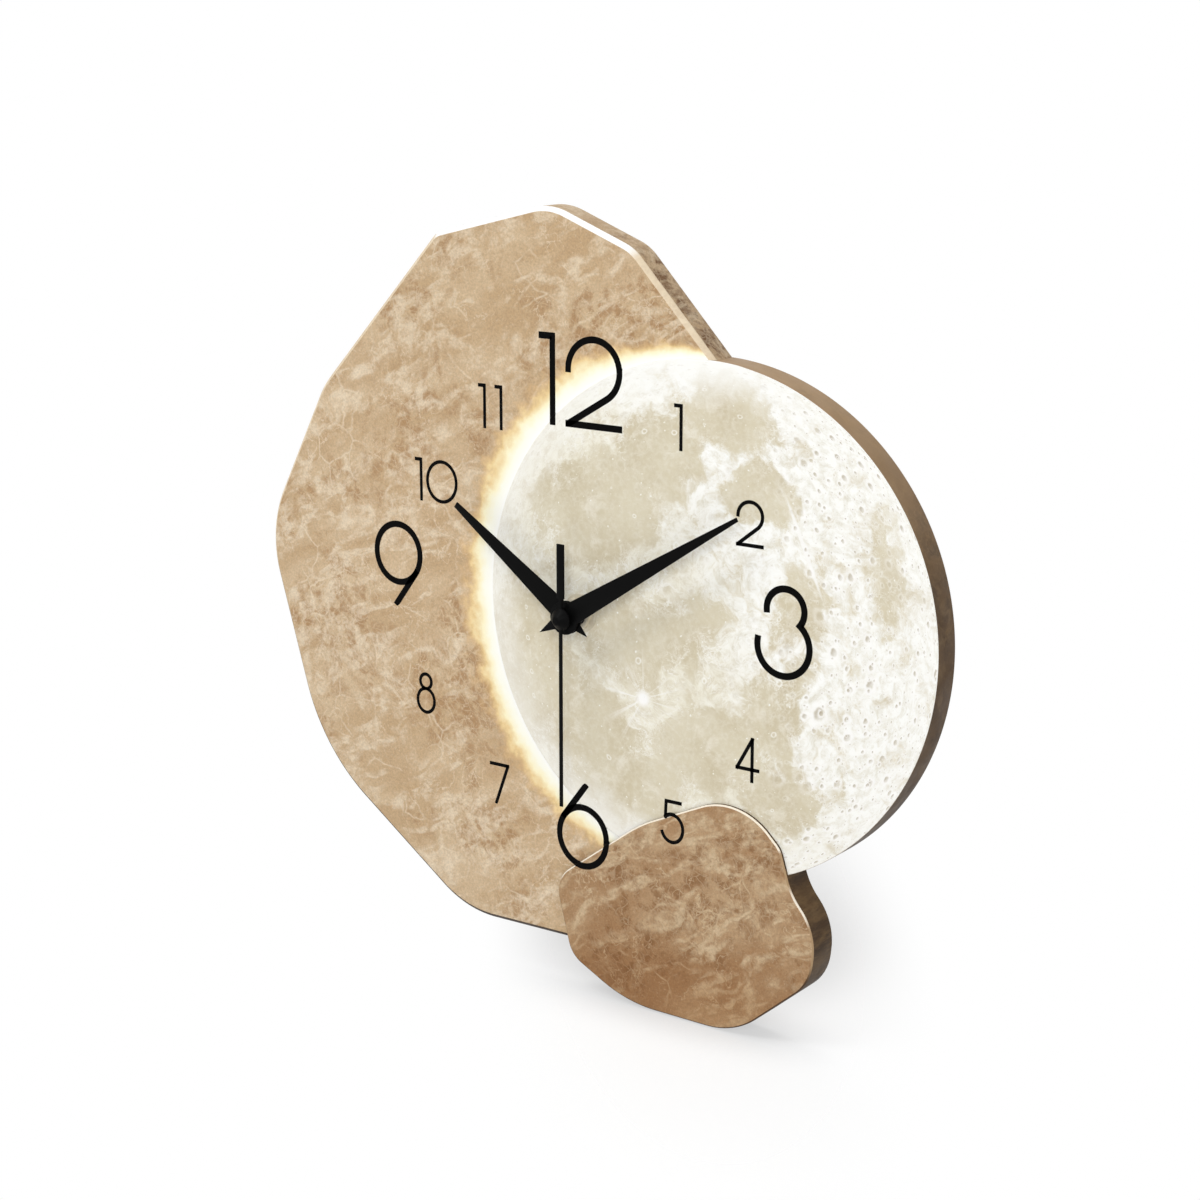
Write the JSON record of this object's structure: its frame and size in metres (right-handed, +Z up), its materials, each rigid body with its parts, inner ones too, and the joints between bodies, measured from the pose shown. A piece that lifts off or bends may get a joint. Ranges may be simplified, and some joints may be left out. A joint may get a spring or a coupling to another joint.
{
  "type": "wall clock",
  "caption": "Wall clock of nested printed wood boards: a stone-look slab, a round moon board and a darker pebble, with slim numerals and black hands on a quartz movement.",
  "frame": {"origin": "the point on the wall where the hook carries the hanger's teeth, above the mass centre", "axes": "X to the right seen from the front, Y into the wall with the dial facing -Y, Z up"},
  "size_m": [0.3115, 0.0373, 0.3057],
  "materials": {
    "slab_print": "printed tan marble look, satin, brown cut edges",
    "moon_print": "printed moon, satin, brown cut edges",
    "pebble_print": "printed brown marble look, satin, brown cut edges",
    "hardboard": "bare brown hardboard",
    "zinc_steel": "zinc plated",
    "pad_rubber": "matt black",
    "case_plastic": "moulded black",
    "battery_label": "plain printed sleeve",
    "circuit_green": "solder mask",
    "coil_wire": "enamelled copper",
    "wheel_plastic": "natural nylon",
    "magnet": "ferrite",
    "brass": "turned",
    "black_steel": "black",
    "hand_black": "satin black paint"
  },
  "bodies": {
    "clock_body": {"slab_board": "slab_print", "moon_board": "moon_print", "pebble_board": "pebble_print", "backing_plate": "hardboard", "hanger": "zinc_steel", "wall_pad_upper_left": "pad_rubber", "wall_pad_lower_left": "pad_rubber", "wall_pad_right": "pad_rubber", "wall_pad_bottom": "pad_rubber", "movement_case": "case_plastic", "movement_cover": "case_plastic", "battery": "battery_label", "battery_contact_plus": "zinc_steel", "battery_contact_minus": "zinc_steel", "circuit_board": "circuit_green", "quartz_crystal": "zinc_steel", "coil": "coil_wire", "stator": "zinc_steel", "train_bridge": "wheel_plastic", "rubber_washer": "pad_rubber", "brass_washer": "brass", "stem_nut": "black_steel"},
    "hour_body": {"hour_hand": "hand_black", "hour_wheel": "wheel_plastic"},
    "minute_body": {"minute_hand": "hand_black", "minute_arbor": "brass"},
    "second_body": {"second_hand": "hand_black", "seconds_wheel": "wheel_plastic"},
    "minute_wheel_body": {"minute_wheel": "wheel_plastic"},
    "set_knob_body": {"set_knob": "case_plastic"},
    "third_wheel_body": {"third_wheel": "wheel_plastic"},
    "centre_wheel_body": {"centre_wheel": "brass"},
    "step_wheel_body": {"step_wheel": "wheel_plastic"},
    "rotor_body": {"rotor": "magnet"}
  },
  "joints": [
    {"name": "minute_hand_turn", "type": "hinge", "parent": "clock_body", "child": "minute_body", "pos_m": [0.0015, -0.02, -0.1013], "axis": [0, 1, 0], "continuous": true},
    {"name": "hour_hand_turn", "type": "hinge", "parent": "clock_body", "child": "hour_body", "pos_m": [0.0015, -0.02, -0.1013], "axis": [0, 1, 0], "continuous": true},
    {"name": "minute_wheel_turn", "type": "hinge", "parent": "clock_body", "child": "minute_wheel_body", "pos_m": [0.01135, -0.012, -0.10304], "axis": [0, 1, 0], "continuous": true},
    {"name": "set_knob_turn", "type": "hinge", "parent": "clock_body", "child": "set_knob_body", "pos_m": [0.02091, -0.008, -0.10596], "axis": [0, 1, 0], "continuous": true},
    {"name": "second_hand_turn", "type": "hinge", "parent": "clock_body", "child": "second_body", "pos_m": [0.0015, -0.02, -0.1013], "axis": [0, 1, 0], "continuous": true},
    {"name": "third_wheel_turn", "type": "hinge", "parent": "clock_body", "child": "third_wheel_body", "pos_m": [-0.01055, -0.009, -0.09917], "axis": [0, 1, 0], "continuous": true},
    {"name": "centre_wheel_turn", "type": "hinge", "parent": "clock_body", "child": "centre_wheel_body", "pos_m": [0.0015, -0.0107, -0.1013], "axis": [0, 1, 0], "continuous": true},
    {"name": "step_wheel_turn", "type": "hinge", "parent": "clock_body", "child": "step_wheel_body", "pos_m": [0.00948, -0.007, -0.09109], "axis": [0, 1, 0], "continuous": true},
    {"name": "rotor_turn", "type": "hinge", "parent": "clock_body", "child": "rotor_body", "pos_m": [0.01775, -0.009, -0.08963], "axis": [0, 1, 0], "continuous": true}
  ],
  "couplings": [
    {"joint": "hour_hand_turn", "follows": "minute_hand_turn", "ratio": 0.083333},
    {"joint": "minute_wheel_turn", "follows": "minute_hand_turn", "ratio": -0.33333},
    {"joint": "set_knob_turn", "follows": "minute_hand_turn", "ratio": 1},
    {"joint": "third_wheel_turn", "follows": "second_hand_turn", "ratio": -0.13333},
    {"joint": "centre_wheel_turn", "follows": "second_hand_turn", "ratio": 0.016667},
    {"joint": "step_wheel_turn", "follows": "second_hand_turn", "ratio": -5},
    {"joint": "rotor_turn", "follows": "second_hand_turn", "ratio": 30}
  ]
}
